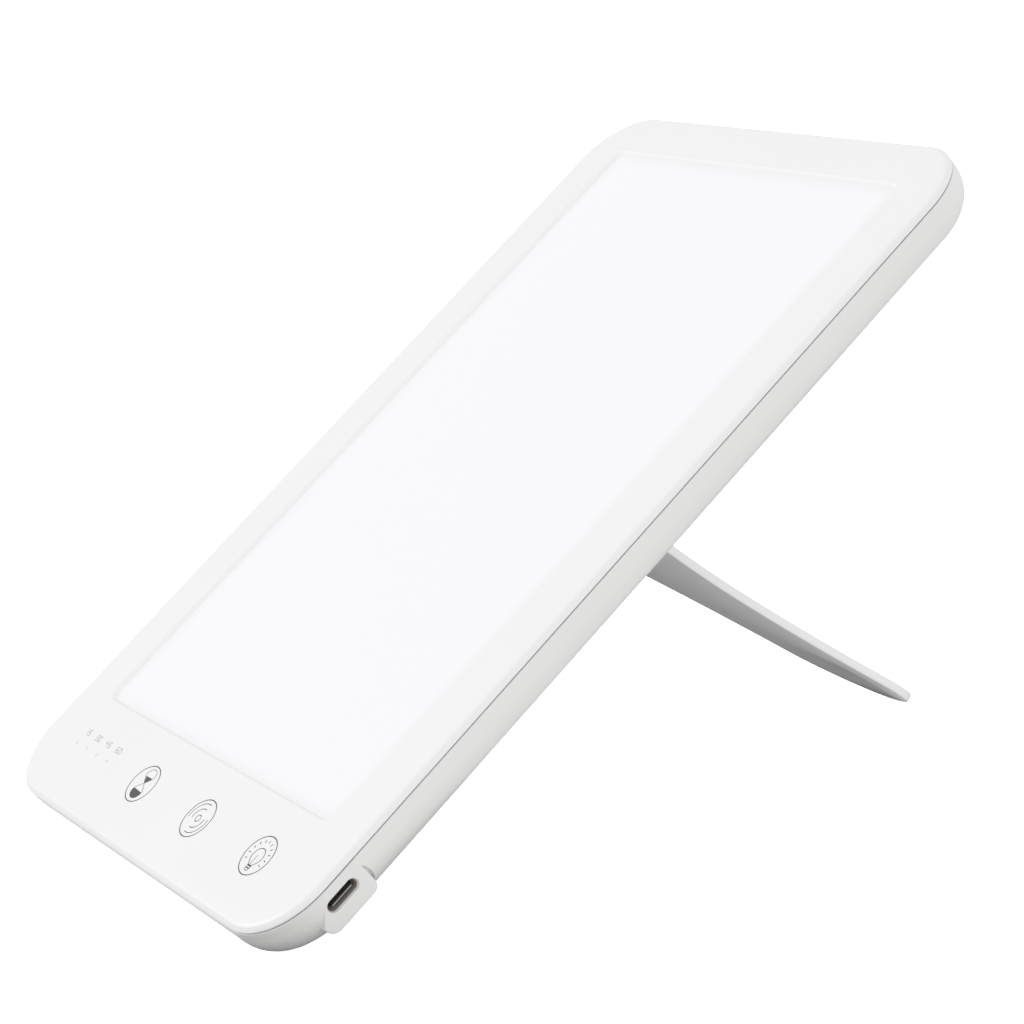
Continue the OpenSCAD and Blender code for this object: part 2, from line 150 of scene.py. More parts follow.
# hinge and kickstand
HINGE_UP = 7.3
HINGE_Z = 9.5
STAND_LEN = 130.8
STAND_T = 2.2
NOSE_R = STAND_T / 2
TIP_R = 21.2
FLARE_R = 184
FLARE_C = STAND_LEN - TIP_R
ROOT_HALF = 54.5
ROOT_TOP = 0.38
DIMPLE_R = 12.5
DIMPLE_FLAT_R = 6
DIMPLE_D = 1.2
EDGE_POWER = 5
KNUCKLE_R = 1.9
KNUCKLE_EDGE = 0.2
PAST_FACES = 4
CUT_TOP = 2.2
ROD_R = 1
ROD_PAST = 5.6
CHANNEL_R = KNUCKLE_R + 0.4
POCKET_GAP = 0.5
POCKET_LIP_R = 0.5
POCKET_FLOOR_R = 0.35
POCKET_FLOOR = -(HINGE_Z - NOSE_R) + 0.4
TUB_LOW = -SHELL_D + 0.8
TUB_TOP = POCKET_FLOOR + 1.5
BLOCK_OUT = 3.4
BLOCK_HALF_X = 3
BLOCK_HALF_Y = 4.5
BRACKET_X = 32.4
CUT_HALF = 5.0
SLOT_HALF_X = 4.6
SLOT_HALF_Y = 1.1
PAD_HALF = 6
PAD_START = 2
PAD_END = 11
PAD_SCREW_X = 3.4
PAD_SCREW_Y = 7
PAD_SCREW_R = 0.85

# feet and case screws, with turned outlines as (height, radius)
FOOT_X = 32
FOOT_LEN = 18
FOOT_W = 6
SCREWS = [(x, y) for x in (-52, 52) for y in (-112.4, 112.4)]
COVER_POST = [(-6, 2.6), (SEAM + 0.2, 2.6)]
COVER_POST_HOLE = [(-7, 1.25), (-0.6, 1.25)]
SHELL_POST = [(-SHELL_D + 0.4, 4), (-6.1, 4)]
SCREW_RECESS = [(-SHELL_D - 1, 3.05), (-SHELL_D, 3.05), (-SHELL_D + 0.35, 2.7), (-8.6, 2.7)]
SCREW_RECESS += [(-8.59, 1.5), (-4, 1.5)]
SCREW_OUTLINE = [(-10.2, 1.7), (-10.05, 2.05), (-9.8, 2.25), (-9.5, 2.3), (-8.6, 2.3)]
SCREW_OUTLINE += [(-8.59, 1.2), (-0.8, 1.2)]
CROSS_LONG = 1.3
CROSS_SHORT = 0.25
CROSS_LOW = -11
CROSS_TOP = -9.4

# straight pieces that a curve is drawn with
CORNER_STEPS = 18
EDGE_STEPS = 14
BAR_STEPS = 14
FLARE_STEPS = 40
RIM_STEPS = 5
ROUND_STEPS = 8
DISH_STEPS = 12

# ---------------------------------------------------------------- frames

hinge = Vector(frame["joints"][0]["pos_m"])
tilt_turn = Matrix.Rotation(math.radians(TILT), 4, "X")
panel_origin = hinge - tilt_turn @ Vector((0, HINGE_UP * MM, -HINGE_Z * MM))
panel_frame = Matrix.Translation(panel_origin) @ tilt_turn
foot_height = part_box("rubber_feet")[1].z / MM
stand_drop = math.asin((hinge.z / MM - NOSE_R) / (STAND_LEN - NOSE_R))
OPEN_ANGLE = math.pi - math.radians(TILT) - stand_drop
stand_frame = Matrix.Translation(hinge) @ Matrix.Rotation(math.radians(TILT) + OPEN_ANGLE, 4, "X")
BACK_LEAN = OPEN_ANGLE - math.pi / 2
STOP_Y = (SHELL_D - HINGE_Z) * math.tan(BACK_LEAN) + NOSE_R / math.cos(BACK_LEAN) + 0.05


def place(piece, where, body):
    """Moves the mesh from its own frame into the row's frame, and lets it ride on a body."""
    piece.data.transform(where)
    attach(piece, body)


# ---------------------------------------------------------------- camera, floor and light

# the dome's brightness, and the heights on it, from 0 at the bottom to 1 at the top, where it changes
SKY_LOW = 0.72
SKY_HIGH = 0.88
SKY_LOW_AT = 0.36
SKY_HIGH_AT = 0.60

# the floor, and the grey card just under it, in metres
FLOOR_HALF = 30
CARD_DOWN = 0.001
CARD = [(-0.2, -0.09), (0.04, -0.09), (0.06, -0.12), (0.085, -0.12), (0.085, -0.04), (0.01, 0)]
CARD += [(0.01, 0.26), (-0.2, 0.26)]


def camera():
    """Long lens from the panel's right, low over its lower edge, rolled a little. Its target is in metres."""
    target = Vector((0.00072, -0.00193, 0.06828))
    azimuth = math.radians(60.90)
    elevation = math.radians(13.16)
    roll = math.radians(-3.76)
    distance = 0.70098
    look = Vector(
        (
            -math.sin(azimuth) * math.cos(elevation),
            math.cos(azimuth) * math.cos(elevation),
            -math.sin(elevation),
        )
    )
    data = bpy.data.cameras.new("camera")
    data.lens = 103.87
    data.sensor_width = 36
    data.clip_start = 0.01
    data.clip_end = 50
    data.dof.use_dof = False
    cam = bpy.data.objects.new("camera", data)
    turn = look.to_track_quat("-Z", "Y").to_matrix().to_4x4()
    cam.matrix_world = Matrix.Translation(target - look * distance) @ turn @ Matrix.Rotation(roll, 4, "Z")
    bpy.context.scene.collection.objects.link(cam)
    bpy.context.scene.camera = cam


def area_light(name, where, towards, size, power):
    data = bpy.data.lights.new(name, "AREA")
    data.shape = "RECTANGLE"
    data.size, data.size_y = size
    data.energy = power
    light = bpy.data.objects.new(name, data)
    aim = (Vector(towards) - Vector(where)).to_track_quat("-Z", "Y").to_matrix().to_4x4()
    light.matrix_world = Matrix.Translation(Vector(where)) @ aim
    bpy.context.scene.collection.objects.link(light)


def sky(world):
    """A white dome that is dimmer below the horizon, so undersides stay darker than the top."""
    world.use_nodes = True
    tree = world.node_tree
    where = tree.nodes.new("ShaderNodeTexCoord")
    split = tree.nodes.new("ShaderNodeSeparateXYZ")
    ramp = tree.nodes.new("ShaderNodeValToRGB")
    height = tree.nodes.new("ShaderNodeMapRange")
    height.inputs["From Min"].default_value = -1
    tree.links.new(where.outputs["Generated"], split.inputs["Vector"])
    tree.links.new(split.outputs["Z"], height.inputs["Value"])
    tree.links.new(height.outputs["Result"], ramp.inputs["Fac"])
    ramp.color_ramp.elements[0].position = SKY_LOW_AT
    ramp.color_ramp.elements[0].color = (SKY_LOW, SKY_LOW, SKY_LOW, 1)
    ramp.color_ramp.elements[1].position = SKY_HIGH_AT
    ramp.color_ramp.elements[1].color = (SKY_HIGH, SKY_HIGH, SKY_HIGH, 1)
    tree.links.new(ramp.outputs["Color"], tree.nodes["Background"].inputs["Color"])


def studio():
    scene = bpy.context.scene
    scene.view_settings.view_transform = "Standard"
    world = bpy.data.worlds.new("studio")
    scene.world = world
    sky(world)
    area_light("key", (-2.5, -2.95, 1.64), (0, 0, 0.05), (2.4, 2.4), 45)
    area_light("side", (3, 0, 0.9), (0, 0, 0.06), (2.1, 1.6), 10)


def floor_wash(floor):
    """Even light for the floor alone, so that it stays pale right up to the horizon."""
    data = bpy.data.lights.new("floor_wash", "SUN")
    data.energy = 3.0
    data.use_shadow = False
    wash = bpy.data.objects.new("floor_wash", data)
    bpy.context.scene.collection.objects.link(wash)
    only_floor = bpy.data.collections.new("floor_only")
    only_floor.objects.link(floor)
    wash.light_linking.receiver_collection = only_floor


def floor_shade():
    """Stands in for the shade that the panel throws on the table: a grey card just under the floor."""
    bm = bmesh.new()
    bm.faces.new([bm.verts.new((x, y, -CARD_DOWN)) for x, y in CARD])
    obj = finish_mesh(bm, "floor_shade")
    obj.data.materials.append(matt("shade_card_grey", 4, 0.28, 0.32))


def floor():
    """A plain pale floor, which neither lights nor shades the object."""
    bm = bmesh.new()
    bmesh.ops.create_grid(bm, x_segments=1, y_segments=1, size=FLOOR_HALF)
    obj = finish_mesh(bm, "floor")
    obj.data.materials.append(matt("floor_white", 1.5, 0.93, 0.95))
    obj.visible_diffuse = False
    obj.visible_glossy = False
    obj.visible_shadow = False
    floor_wash(obj)
    floor_shade()


# ---------------------------------------------------------------- materials


class Nodes:
    """Short names for building a material's node tree."""

    def __init__(self, name):
        self.mat = bpy.data.materials.new(name)
        self.mat.use_nodes = True
        self.tree = self.mat.node_tree
        self.shader = self.tree.nodes["Principled BSDF"]

    def add(self, kind, **settings):
        node = self.tree.nodes.new(kind)
        for key, value in settings.items():
            setattr(node, key, value)
        return node

    def link(self, a, b):
        self.tree.links.new(a, b)

    def feed(self, **sources):
        """Links each source to the shader's socket of that name."""
        for key, source in sources.items():
            self.link(source, self.shader.inputs[key.replace("_", " ")])

    def set(self, **values):
        for key, value in values.items():
            self.shader.inputs[key.replace("_", " ")].default_value = value

    def position(self):
        return self.add("ShaderNodeTexCoord").outputs["Object"]

    def noise(self, scale, detail=3.0, roughness=0.5, stretch=None):
        """Noise over the piece in metres; scale is in features per metre."""
        node = self.add("ShaderNodeTexNoise")
        node.inputs["Scale"].default_value = scale
        node.inputs["Detail"].default_value = detail
        node.inputs["Roughness"].default_value = roughness
        where = self.position()
        if stretch:
            mapping = self.add("ShaderNodeMapping")
            mapping.inputs["Scale"].default_value = stretch
            self.link(where, mapping.inputs["Vector"])
            where = mapping.outputs["Vector"]
        self.link(where, node.inputs["Vector"])
        return node.outputs["Fac"]

    def ramp(self, factor, low, high, start=0.3, end=0.7):
        """A colour that goes from low to high as the factor goes from start to end."""
        node = self.add("ShaderNodeValToRGB")
        node.color_ramp.elements[0].position = start
        node.color_ramp.elements[0].color = (*low, 1)
        node.color_ramp.elements[1].position = end
        node.color_ramp.elements[1].color = (*high, 1)
        self.link(factor, node.inputs["Fac"])
        return node.outputs["Color"]

    def spread(self, factor, low, high):
        node = self.add("ShaderNodeMapRange")
        node.inputs["To Min"].default_value = low
        node.inputs["To Max"].default_value = high
        self.link(factor, node.inputs["Value"])
        return node.outputs["Result"]

    def bump(self, height, strength, distance, below=None):
        node = self.add("ShaderNodeBump")
        node.inputs["Strength"].default_value = strength
        node.inputs["Distance"].default_value = distance
        self.link(height, node.inputs["Height"])
        if below is not None:
            self.link(below, node.inputs["Normal"])
        return node.outputs["Normal"]


def moulded(name, tone, shade, roughness, grain=2600):
    """Injection-moulded plastic: a fine spark-eroded grain, slow flow marks and a slightly uneven sheen."""
    n = Nodes(name)
    flow = n.noise(9, detail=2)
    under = n.bump(flow, strength=0.12, distance=0.0004)
    n.feed(
        Base_Color=n.ramp(flow, shade, tone, 0.35, 0.65),
        Roughness=n.spread(n.noise(60), roughness - 0.04, roughness + 0.05),
        Normal=n.bump(n.noise(grain, detail=2), strength=0.35, distance=0.00002, below=under),
    )
    return n.mat


def painted_glow_lip():
    """The cover's plastic at the window's edge, with a faint painted glow that stands in for backlight
    showing through it.
    """
    mat = moulded("white_shell_lip_painted_glow", WHITE, WHITE_SHADE, 0.3)
    shader = mat.node_tree.nodes["Principled BSDF"]
    # painted light: a faint emission on plastic that is no lamp
    shader.inputs["Emission Color"].default_value = (1, 1, 1, 1)
    shader.inputs["Emission Strength"].default_value = 0.07
    return mat


def matt(name, scale, low, high):
    """A dull grey for the floor and its card, a little uneven."""
    n = Nodes(name)
    n.feed(Base_Color=n.ramp(n.noise(scale, detail=1), (low, low, low), (high, high, high)))
    n.set(Roughness=0.9, Specular_IOR_Level=0.1)
    return n.mat


# how far outside the window's edge the glow starts, and how far inside it is full
GLOW_OUT = 0.8
GLOW_IN = 4.5
# the diffuse colour is painted a little darker towards the window's edge: painted shade
MILK_EDGE = (0.69, 0.694, 0.7)
MILK_MIDDLE = (0.70, 0.705, 0.715)
GLOW_EDGE = (0.155, 0.152, 0.156)
GLOW_MIDDLE = (0.20, 0.196, 0.206)


def lit_diffuser():
    """Milky acrylic lit from behind. The glow falls off over the last millimetres to the window's edge, and
    the diffuse colour is painted a little darker there as painted shade.
    """
    n = Nodes("milk_diffuser_lit")
    mapping = n.add("ShaderNodeMapping", vector_type="TEXTURE")
    mapping.inputs["Location"].default_value = panel_frame @ Vector((0, WINDOW_UP * MM, 0))
    mapping.inputs["Rotation"].default_value = (math.radians(TILT), 0, 0)
    n.link(n.position(), mapping.inputs["Vector"])
    split = n.add("ShaderNodeSeparateXYZ")
    n.link(mapping.outputs["Vector"], split.inputs["Vector"])

    def inside(axis, half):
        size = n.add("ShaderNodeMath", operation="ABSOLUTE")
        n.link(split.outputs[axis], size.inputs[0])
        depth = n.add("ShaderNodeMapRange", interpolation_type="SMOOTHSTEP")
        depth.inputs["From Min"].default_value = (half + GLOW_OUT) * MM
        depth.inputs["From Max"].default_value = (half - GLOW_IN) * MM
        n.link(size.outputs[0], depth.inputs["Value"])
        return depth.outputs["Result"]

    def product(a, b):
        node = n.add("ShaderNodeMath", operation="MULTIPLY")
        n.link(a, node.inputs[0])
        n.link(b, node.inputs[1])
        return node.outputs[0]

    both = product(inside("X", WINDOW_W / 2), inside("Y", WINDOW_H / 2))
    edge_falloff_and_mottle = product(both, n.spread(n.noise(14, detail=2), 0.985, 1.0))
    n.feed(
        Base_Color=n.ramp(edge_falloff_and_mottle, MILK_EDGE, MILK_MIDDLE, 0, 1),
        Emission_Color=n.ramp(edge_falloff_and_mottle, GLOW_EDGE, GLOW_MIDDLE, 0, 1),
        Normal=n.bump(n.noise(1800, detail=2), strength=0.2, distance=0.00001),
    )
    n.set(Emission_Strength=1.0, Roughness=0.34, Specular_IOR_Level=0.35)
    return n.mat


def clear_plastic(name, tint):
    n = Nodes(name)
    n.feed(
        Base_Color=n.ramp(n.noise(40, detail=2), tint, (0.97, 0.98, 1.0)),
        Roughness=n.spread(n.noise(400, detail=2), 0.04, 0.12),
    )
    n.set(IOR=1.49, Transmission_Weight=0.85)
    return n.mat


def metal(name, tone, shade, roughness, metallic=1.0):
    """Brushed or rolled metal: fine streaks along X that change its tone, roughness and height."""
    n = Nodes(name)
    streak = n.noise(300, detail=4, roughness=0.6, stretch=(1, 30, 30))
    n.feed(
        Base_Color=n.ramp(streak, shade, tone),
        Roughness=n.spread(streak, roughness - 0.07, roughness + 0.1),
        Normal=n.bump(streak, strength=0.15, distance=0.00002),
    )
    n.set(Metallic=metallic)
    return n.mat


def circuit_board():
    """Green solder mask with slightly raised copper tracks under it."""
    n = Nodes("green_board_mask")
    brick = n.add("ShaderNodeTexBrick")
    brick.inputs["Scale"].default_value = 420
    brick.inputs["Mortar Size"].default_value = 0.035
    brick.inputs["Color1"].default_value = (0.02, 0.16, 0.06, 1)
    brick.inputs["Color2"].default_value = (0.025, 0.2, 0.075, 1)
    brick.inputs["Mortar"].default_value = (0.05, 0.3, 0.12, 1)
    n.link(n.position(), brick.inputs["Vector"])
    n.feed(
        Base_Color=brick.outputs["Color"],
        Normal=n.bump(brick.outputs["Fac"], strength=0.3, distance=0.00003),
    )
    n.set(Roughness=0.3, Coat_Weight=0.4, Coat_Roughness=0.15)
    return n.mat


def phosphor():
    """The yellow window of an LED."""
    n = Nodes("led_phosphor")
    n.feed(
        Base_Color=n.ramp(n.noise(900, detail=2), (0.85, 0.62, 0.12), (0.95, 0.78, 0.3)),
        Normal=n.bump(n.noise(2500, detail=2), strength=0.3, distance=0.00002),
    )
    n.set(Roughness=0.45)
    return n.mat


def soft_rubber():
    n = Nodes("foot_rubber")
    n.feed(
        Base_Color=n.ramp(n.noise(700, detail=4), (0.33, 0.33, 0.335), (0.42, 0.42, 0.42)),
        Roughness=n.spread(n.noise(250), 0.62, 0.85),
        Normal=n.bump(n.noise(3000), strength=0.5, distance=0.00004),
    )
    n.set(Specular_IOR_Level=0.3)
    return n.mat


def ink(name, low, high):
    """Pad-printed ink: dull, with faint pinholes."""
    n = Nodes(name)
    n.feed(
        Base_Color=n.ramp(n.noise(5000, detail=2), low, high),
        Roughness=n.spread(n.noise(1500, detail=2), 0.45, 0.6),
    )
    return n.mat


WHITE = (0.87, 0.864, 0.866)
WHITE_SHADE = (0.855, 0.85, 0.851)
MATS = {
    "cover": moulded("white_shell_cover", WHITE, WHITE_SHADE, 0.3),
    "lip": painted_glow_lip(),
    "shell": moulded("white_shell_case", (0.84, 0.838, 0.83), (0.825, 0.822, 0.815), 0.36),
    "stand": moulded("white_shell_stand", (0.9, 0.896, 0.892), (0.88, 0.876, 0.872), 0.32),
    "milk": lit_diffuser(),
    "clear": clear_plastic("clear_sheet_acrylic", (0.9, 0.94, 0.97)),
    "pipe": moulded("milky_pipe_acrylic", (0.84, 0.84, 0.85), (0.8, 0.8, 0.81), 0.25),
    "sheet": moulded("white_sheet_film", (0.88, 0.88, 0.88), (0.85, 0.85, 0.85), 0.55, 1200),
    "tray": metal("tray_metal_rolled", (0.78, 0.79, 0.8), (0.66, 0.67, 0.69), 0.32),
    "board": circuit_board(),
    "led": phosphor(),
    "black": moulded("black_part_moulded", (0.02, 0.02, 0.022), (0.014, 0.014, 0.015), 0.42, 3000),
    "dark": metal("dark_grey_part_blackened", (0.1, 0.1, 0.105), (0.06, 0.06, 0.065), 0.42),
    "steel": metal("steel_nickel", (0.66, 0.66, 0.67), (0.5, 0.5, 0.51), 0.26),
    "usb": metal("usb_steel", (0.8, 0.77, 0.73), (0.7, 0.67, 0.64), 0.52, metallic=0.6),
    "gold": metal("gold_contact_flash", (0.85, 0.62, 0.25), (0.75, 0.52, 0.18), 0.22),
    "ivory": moulded("ivory_plastic_nylon", (0.82, 0.78, 0.66), (0.78, 0.73, 0.6), 0.45, 1800),
    "red": moulded("red_wire_sleeve", (0.5, 0.03, 0.03), (0.42, 0.02, 0.02), 0.4, 1500),
    "rubber": soft_rubber(),
    "ink": ink("key_ink", (0.055, 0.055, 0.06), (0.075, 0.075, 0.08)),
    "label": ink("label_ink", (0.4, 0.4, 0.41), (0.46, 0.46, 0.47)),
}


# ---------------------------------------------------------------- mesh helpers


def rounded(w, h, r, z, up=0.0):
    """Points of a rounded rectangle at height z, counter-clockwise from its right side's upper end."""
    points = []
    for quarter, (sx, sy) in enumerate([(1, 1), (-1, 1), (-1, -1), (1, -1)]):
        for i in range(CORNER_STEPS + 1):
            a = math.pi / 2 * (quarter + i / CORNER_STEPS)
            x = sx * (w / 2 - r) + r * math.cos(a)
            y = sy * (h / 2 - r) + r * math.sin(a) + up
            points.append(Vector((x, y, z)))
    return points


def panel_ring(inset, z):
    return rounded(PANEL_W - 2 * inset, PANEL_H - 2 * inset, max(CORNER_R - inset, 0.6), z)


def window_ring(grow, z):
    return rounded(WINDOW_W + 2 * grow, WINDOW_H + 2 * grow, WINDOW_R + max(grow, -1), z, WINDOW_UP)


def loft(rings, name, loop=False):
    """A mesh from rings of points in mm: its skin closes on the first ring, or gets a cap at each end."""
    bm = bmesh.new()
    rows = [[bm.verts.new(p * MM) for p in ring] for ring in rings]
    pairs = list(zip(rows[:-1], rows[1:]))
    if loop:
        pairs.append((rows[-1], rows[0]))
    for low, high in pairs:
        count = len(low)
        for i in range(count):
            j = (i + 1) % count
            bm.faces.new((low[i], low[j], high[j], high[i]))
    if not loop:
        bm.faces.new(list(reversed(rows[0])))
        bm.faces.new(rows[-1])
    bmesh.ops.remove_doubles(bm, verts=bm.verts, dist=1e-7)
    bmesh.ops.recalc_face_normals(bm, faces=bm.faces)
    return finish_mesh(bm, name)


def finish_mesh(bm, name):
    mesh = bpy.data.meshes.new(name)
    bm.to_mesh(mesh)
    bm.free()
    obj = bpy.data.objects.new(name, mesh)
    bpy.context.scene.collection.objects.link(obj)
    return obj


def merge(objects, name):
    bm = bmesh.new()
    for obj in objects:
        bm.from_mesh(obj.data)
        bpy.data.objects.remove(obj)
    return finish_mesh(bm, name)


def boolean(obj, other, operation):
    """Cuts or joins the other mesh, or keeps what both hold, and removes the other."""
    mod = obj.modifiers.new("boolean", "BOOLEAN")
    mod.operation = operation
    mod.solver = "EXACT"
    mod.object = other
    bpy.context.view_layer.update()
    graph = bpy.context.evaluated_depsgraph_get()
    mesh = bpy.data.meshes.new_from_object(obj.evaluated_get(graph))
    obj.modifiers.clear()
    obj.data = mesh
    bpy.data.objects.remove(other)


def cut(obj, *others):
    for other in others:
        boolean(obj, other, "DIFFERENCE")


def join_solid(obj, *others):
    for other in others:
        boolean(obj, other, "UNION")


def smooth(obj, angle):
    """Smooth shading, with a crease where two faces meet at more than the angle."""
    bm = bmesh.new()
    bm.from_mesh(obj.data)
    bmesh.ops.dissolve_degenerate(bm, dist=1e-7, edges=bm.edges)
    for face in bm.faces:
        face.smooth = True
    limit = math.radians(angle)
    for edge in bm.edges:
        edge.smooth = len(edge.link_faces) == 2 and edge.calc_face_angle(0) < limit
    bm.to_mesh(obj.data)
    bm.free()


def finish(obj, material, angle):
    """One material, smooth shading up to the angle, and the material slot's name."""
    obj.data.materials.clear()
    obj.data.materials.append(material)
    for polygon in obj.data.polygons:
        polygon.material_index = 0
    smooth(obj, angle)


def arc(radius, start, end, n):
    """Cosine and sine times the radius at n + 1 angles from start to end, in degrees."""
    return [
        (radius * math.cos(math.radians(a)), radius * math.sin(math.radians(a)))
        for a in [start + (end - start) * i / n for i in range(n + 1)]
    ]


def box_mm(x0, x1, y0, y1, z0, z1):
    ring = [Vector((x0, y0, 0)), Vector((x1, y0, 0)), Vector((x1, y1, 0)), Vector((x0, y1, 0))]
    return loft([moved(ring, dz=z) for z in (z0, z1)], "box")


def moved(ring, dx=0.0, dy=0.0, dz=0.0):
    return [p + Vector((dx, dy, dz)) for p in ring]


def circle_angles(n):
    return [2 * math.pi * i / n for i in range(n)]


def round_bar(outline, axis, centre, n):
    """A turned shape with n sides: outline is a list of (distance along the axis, radius)."""
    turn = Vector((0, 0, 1)).rotation_difference(Vector(axis)).to_matrix()
    rings = []
    for along, radius in outline:
        ring = [Vector((radius * math.cos(a), radius * math.sin(a), along)) for a in circle_angles(n)]
        rings.append([Vector(centre) + turn @ p for p in ring])
    return loft(rings, "round_bar")


def upright(outline, x, y, n):
    """A turned shape along Z."""
    return round_bar(outline, (0, 0, 1), (x, y, 0), n)


def crosswise(outline, y, z, n):
    """A turned shape along X."""
    return round_bar(outline, (1, 0, 0), (0, y, z), n)


def stadium(w, h, z):
    """Points of a bar with round ends, w long and h high, at height z."""
    points = []
    for side, start in ((1, -90), (-1, 90)):
        for i in range(BAR_STEPS + 1):
            a = math.radians(start + 180 * i / BAR_STEPS)
            points.append(Vector((side * (w - h) / 2 + h / 2 * math.cos(a), h / 2 * math.sin(a), z)))
    return points


def at_inlet(ring):
    """Turns a flat ring to stand round the inlet: x becomes Y, y becomes Z and z becomes X."""
    return [Vector((p.z, -INLET_ROW + p.x, -INLET_Z + p.y)) for p in ring]


def inlet_ring(x, grow):
    """The receptacle's outline at a place along X, grown by a margin."""
    return at_inlet(stadium(USB_W + 2 * grow, USB_H + 2 * grow, x))


# ---------------------------------------------------------------- front cover


def edge_round(radius, start, end):
    """A round on the cover's edge, from one angle to another: how far in and how far up its points are."""
    points = arc(radius, start, end, ROUND_STEPS)
    return [(points[0][0] - c, s - points[0][1]) for c, s in points]


def cover_edge():
    """Insets and heights up the cover's edge: a small round, a slope, then a larger round on to the rim."""
    foot = [(inset, SEAM + FOOT_BREAK + up) for inset, up in edge_round(EDGE_FOOT_R, 0, EDGE_SLOPE)]
    shoulder = edge_round(SHOULDER_R, EDGE_SLOPE, SHOULDER_END)
    foot_inset, foot_z = foot[-1]
    rise = COVER_SIDE + SHOULDER_UP - foot_z - shoulder[-1][1]
    inset = foot_inset + rise * math.tan(math.radians(EDGE_SLOPE))
    return [(FOOT_BREAK, SEAM)] + foot + [(inset + dx, foot_z + rise + up) for dx, up in shoulder]


def cover_rings():
    """The cover's section, from its side wall's foot over the rim, into the window and back underneath."""
    rings = [panel_ring(inset, z) for inset, z in cover_edge()]
    rim_inset, rim_z = cover_edge()[-1]
    for i in range(1, RIM_STEPS + 1):
        t = i / RIM_STEPS
        rings.append(panel_ring(rim_inset + (RIM_W - rim_inset) * t, rim_z + (COVER_TOP - rim_z) * t))
    for c, s in arc(LIP_R, 90, LIP_END, 5):
        rings.append(window_ring(LIP_R - c, COVER_TOP - LIP_R + s))
    for grow, z in ((-LIP_DRAFT, DIFFUSER_TOP), (WINDOW_LEDGE, DIFFUSER_TOP), (WINDOW_LEDGE, SEAM)):
        rings.append(window_ring(grow, z))
    for inset, z in ((SKIRT_IN, SEAM), (SKIRT_IN, SKIRT_LOW), (SKIRT_OUT, SKIRT_LOW), (SKIRT_OUT, SEAM)):
        rings.append(panel_ring(inset, z))
    return rings


def front_cover():
    """The bezel with its skirt, the light pipe's holes, the inlet's notch and the screw posts."""
    obj = loft(cover_rings(), "front_cover_moulded", loop=True)
    notch_low, notch_high = -INLET_ROW - NOTCH_HALF, -INLET_ROW + NOTCH_HALF
    cut(obj, box_mm(NOTCH_START, NOTCH_END, notch_low, notch_high, NOTCH_LOW, SEAM - 0.01))
    for x in DOTS_X:
        cut(obj, upright([(-1, PIN_HOLE_R), (COVER_TOP + 1, PIN_HOLE_R)], x, -KEY_ROW, 24))
    for x, y in SCREWS:
        join_solid(obj, upright(COVER_POST, x, y, 32))
        cut(obj, upright(COVER_POST_HOLE, x, y, 32))
    finish(obj, MATS["cover"], 32)
    paint_lip_glow(obj)
    place(obj, panel_frame, "panel")
    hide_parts("front_cover")


def paint_lip_glow(cover):
    """Gives the window's sloping wall the plastic with the faint painted glow, which stands in for backlight
    showing through it.
    """
    cover.data.materials.append(MATS["lip"])
    wall_low, wall_high = DIFFUSER_TOP + 0.02, COVER_TOP - 0.03
    for face in cover.data.polygons:
        x, y, z = face.center / MM
        across = abs(x) < WINDOW_W / 2 + LIP_R
        up = LIP_R - WINDOW_H / 2 < y - WINDOW_UP < WINDOW_H / 2 + LIP_R
        if across and up and wall_low < z < wall_high:
            face.material_index = 1


# ---------------------------------------------------------------- printed marks

# the ink goes a hair into the bezel and stands a hair out of it; rays are at angles in degrees
INK_SINK = 0.004
INK_RISE = 0.012
KEY_RING = 5.18
LINE = 0.26
RAYS = 11
RAY_START = -28
RAY_END = 206
DIGIT_W = 0.95
DIGIT_H = 1.5
DIGIT_PITCH = 1.55
DIGIT_LINE = 0.2
LABEL_RIGHT = 0.85
LABEL_UP = 3.65
SEGMENTS = {
    "a": ((-1, 1), (1, 1)),
    "b": ((1, 1), (1, 0)),
    "c": ((1, 0), (1, -1)),
    "d": ((-1, -1), (1, -1)),
    "e": ((-1, 0), (-1, -1)),
    "f": ((-1, 1), (-1, 0)),
    "g": ((-1, 0), (1, 0)),
}
DIGITS = {"0": "abcdef", "1": "bc", "3": "abgcd", "4": "fgbc", "5": "afgcd", "6": "afgedc"}


def stroke(points, width, closed=False):
    """A printed line of some width along the points, as quads."""
    count = len(points)
    sides = []
    for i, p in enumerate(points):
        before = points[i - 1] if (closed or i > 0) else p
        after = points[(i + 1) % count] if (closed or i < count - 1) else p
        along = (after - before).normalized()
        across = Vector((-along.y, along.x)) * width / 2
        sides.append((p + across, p - across))
    quads = []
    for i in range(count if closed else count - 1):
        a, b = sides[i], sides[(i + 1) % count]
        quads.append([a[0], b[0], b[1], a[1]])
    return quads


def ink_piece(name, shapes, centre, material):
    """Flat printed shapes, each a list of 2D points in mm, a hair above the bezel."""
    bm = bmesh.new()
    for shape in shapes:
        low, high = (
            [bm.verts.new(Vector((centre[0] + p.x, centre[1] + p.y, z)) * MM) for p in shape]
            for z in (COVER_TOP - INK_SINK, COVER_TOP + INK_RISE)
        )
        count = len(shape)
        bm.faces.new(high)
        bm.faces.new(list(reversed(low)))
        for i in range(count):
            j = (i + 1) % count
            bm.faces.new((low[i], low[j], high[j], high[i]))
    bmesh.ops.recalc_face_normals(bm, faces=bm.faces)
    obj = finish_mesh(bm, name)
    obj.data.materials.append(material)
    place(obj, panel_frame, "panel")


def oval_points(half_w, half_h, start, end, centre, n=24):
    """Points along an oval from one angle to another, in degrees; a full turn leaves out the last."""
    count = n if end - start == 360 else n + 1
    angles = [math.radians(start + (end - start) * i / n) for i in range(count)]
    return [Vector((centre[0] + half_w * math.cos(a), centre[1] + half_h * math.sin(a))) for a in angles]


def circle_points(radius, start=0, end=360, n=48, centre=(0, 0)):
    return oval_points(radius, radius, start, end, centre, n)


def key_ring():
    return stroke(circle_points(KEY_RING, n=72), LINE, True)


